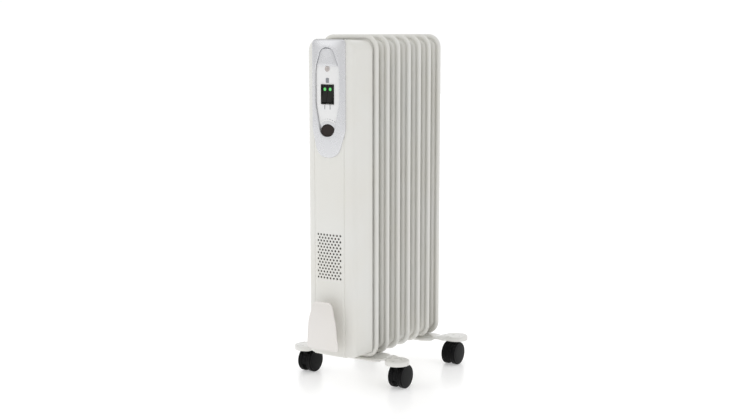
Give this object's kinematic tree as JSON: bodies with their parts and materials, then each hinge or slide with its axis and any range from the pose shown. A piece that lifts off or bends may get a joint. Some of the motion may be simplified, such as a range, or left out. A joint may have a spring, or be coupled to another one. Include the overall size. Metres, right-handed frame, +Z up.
{
  "type": "oil filled radiator heater",
  "caption": "Free-standing oil filled column radiator with a front control housing, rocker switches, thermostat dial, cord winder and twin-wheel casters.",
  "frame": {"origin": "on the floor, under the middle of the whole heater's box", "axes": "+Z up; the fins stack along Y and the control housing faces -Y; X runs across the fins"},
  "size_m": [0.249, 0.3328, 0.64],
  "materials": {
    "fin_enamel": "satin powder coat",
    "cover_enamel": "satin powder coat",
    "foot_white": "gloss enamel",
    "silver_trim": "pearlescent silver",
    "pearl_plastic": "pearlescent",
    "white_panel": "gloss",
    "clear_lens": "clear",
    "green_lens": "gloss",
    "black_gloss": "gloss",
    "dial_black": "knurled matt",
    "caster_black": "gloss",
    "bakelite": "moulded",
    "ceramic": "glazed ceramic",
    "wire_red": "silicone sleeve",
    "gasket_rubber": "matt",
    "brass_fitting": "turned",
    "element_steel": "drawn tube",
    "galvanised": "galvanised sheet",
    "zinc_hardware": "zinc plated"
  },
  "bodies": {
    "heater": {"fin_1": "fin_enamel", "fin_2": "fin_enamel", "fin_3": "fin_enamel", "fin_4": "fin_enamel", "fin_5": "fin_enamel", "fin_6": "fin_enamel", "fin_7": "fin_enamel", "header_caps": "fin_enamel", "oil_filler_plug": "zinc_hardware", "element_flange": "brass_fitting", "element_gasket": "gasket_rubber", "element_tubes": "element_steel", "element_terminals": "ceramic", "back_plate": "galvanised", "front_cover": "cover_enamel", "cover_screws": "zinc_hardware", "control_bezel": "silver_trim", "control_plate": "white_panel", "crest_cap": "silver_trim", "lamp_lens": "clear_lens", "lamp_holder": "black_gloss", "dial_surround": "silver_trim", "switch_body": "black_gloss", "rocker_pin": "zinc_hardware", "thermostat_body": "bakelite", "thermal_cutout": "ceramic", "terminal_block": "ceramic", "wiring_loom": "wire_red", "cable_gland": "black_gloss", "winder_stem": "pearl_plastic", "winder_plate": "pearl_plastic", "winder_screws": "zinc_hardware", "foot_front": "foot_white", "foot_rear": "foot_white", "hook_bolts": "zinc_hardware", "wing_nuts": "zinc_hardware", "caster_stems": "zinc_hardware"},
    "caster_fl": {"caster_hood_fl": "caster_black", "caster_axle_fl": "zinc_hardware"},
    "wheel_fl_a": {"wheel_fl_a": "caster_black"},
    "wheel_fl_b": {"wheel_fl_b": "caster_black"},
    "caster_fr": {"caster_hood_fr": "caster_black", "caster_axle_fr": "zinc_hardware"},
    "wheel_fr_a": {"wheel_fr_a": "caster_black"},
    "wheel_fr_b": {"wheel_fr_b": "caster_black"},
    "caster_rl": {"caster_hood_rl": "caster_black", "caster_axle_rl": "zinc_hardware"},
    "wheel_rl_a": {"wheel_rl_a": "caster_black"},
    "wheel_rl_b": {"wheel_rl_b": "caster_black"},
    "caster_rr": {"caster_hood_rr": "caster_black", "caster_axle_rr": "zinc_hardware"},
    "wheel_rr_a": {"wheel_rr_a": "caster_black"},
    "wheel_rr_b": {"wheel_rr_b": "caster_black"},
    "rocker_left": {"rocker_left": "black_gloss", "rocker_lens_left": "green_lens"},
    "rocker_right": {"rocker_right": "black_gloss", "rocker_lens_right": "green_lens"},
    "dial": {"thermostat_dial": "dial_black", "thermostat_shaft": "zinc_hardware"}
  },
  "joints": [
    {"name": "swivel_fl", "type": "hinge", "parent": "heater", "child": "caster_fl", "pos_m": [-0.102, -0.0739, 0.045], "axis": [0, 0, 1], "continuous": true},
    {"name": "roll_fl_a", "type": "hinge", "parent": "caster_fl", "child": "wheel_fl_a", "pos_m": [-0.1119, -0.0619, 0.022], "axis": [1, 0, 0], "continuous": true},
    {"name": "roll_fl_b", "type": "hinge", "parent": "caster_fl", "child": "wheel_fl_b", "pos_m": [-0.0921, -0.0619, 0.022], "axis": [1, 0, 0], "continuous": true},
    {"name": "swivel_fr", "type": "hinge", "parent": "heater", "child": "caster_fr", "pos_m": [0.102, -0.0739, 0.045], "axis": [0, 0, 1], "continuous": true},
    {"name": "roll_fr_a", "type": "hinge", "parent": "caster_fr", "child": "wheel_fr_a", "pos_m": [0.0921, -0.0619, 0.022], "axis": [1, 0, 0], "continuous": true},
    {"name": "roll_fr_b", "type": "hinge", "parent": "caster_fr", "child": "wheel_fr_b", "pos_m": [0.1119, -0.0619, 0.022], "axis": [1, 0, 0], "continuous": true},
    {"name": "swivel_rl", "type": "hinge", "parent": "heater", "child": "caster_rl", "pos_m": [-0.102, 0.1439, 0.045], "axis": [0, 0, 1], "continuous": true},
    {"name": "roll_rl_a", "type": "hinge", "parent": "caster_rl", "child": "wheel_rl_a", "pos_m": [-0.1119, 0.1319, 0.022], "axis": [1, 0, 0], "continuous": true},
    {"name": "roll_rl_b", "type": "hinge", "parent": "caster_rl", "child": "wheel_rl_b", "pos_m": [-0.0921, 0.1319, 0.022], "axis": [1, 0, 0], "continuous": true},
    {"name": "swivel_rr", "type": "hinge", "parent": "heater", "child": "caster_rr", "pos_m": [0.102, 0.1439, 0.045], "axis": [0, 0, 1], "continuous": true},
    {"name": "roll_rr_a", "type": "hinge", "parent": "caster_rr", "child": "wheel_rr_a", "pos_m": [0.0921, 0.1319, 0.022], "axis": [1, 0, 0], "continuous": true},
    {"name": "roll_rr_b", "type": "hinge", "parent": "caster_rr", "child": "wheel_rr_b", "pos_m": [0.1119, 0.1319, 0.022], "axis": [1, 0, 0], "continuous": true},
    {"name": "rocker_left_tilt", "type": "hinge", "parent": "heater", "child": "rocker_left", "pos_m": [-0.0057, -0.1393, 0.5355], "axis": [1, 0, 0], "range_deg": [0, 16]},
    {"name": "rocker_right_tilt", "type": "hinge", "parent": "heater", "child": "rocker_right", "pos_m": [0.0057, -0.1393, 0.5355], "axis": [1, 0, 0], "range_deg": [0, 16]},
    {"name": "dial_turn", "type": "hinge", "parent": "heater", "child": "dial", "pos_m": [0, -0.1399, 0.466], "axis": [0, 1, 0], "range_deg": [0, 290]}
  ]
}
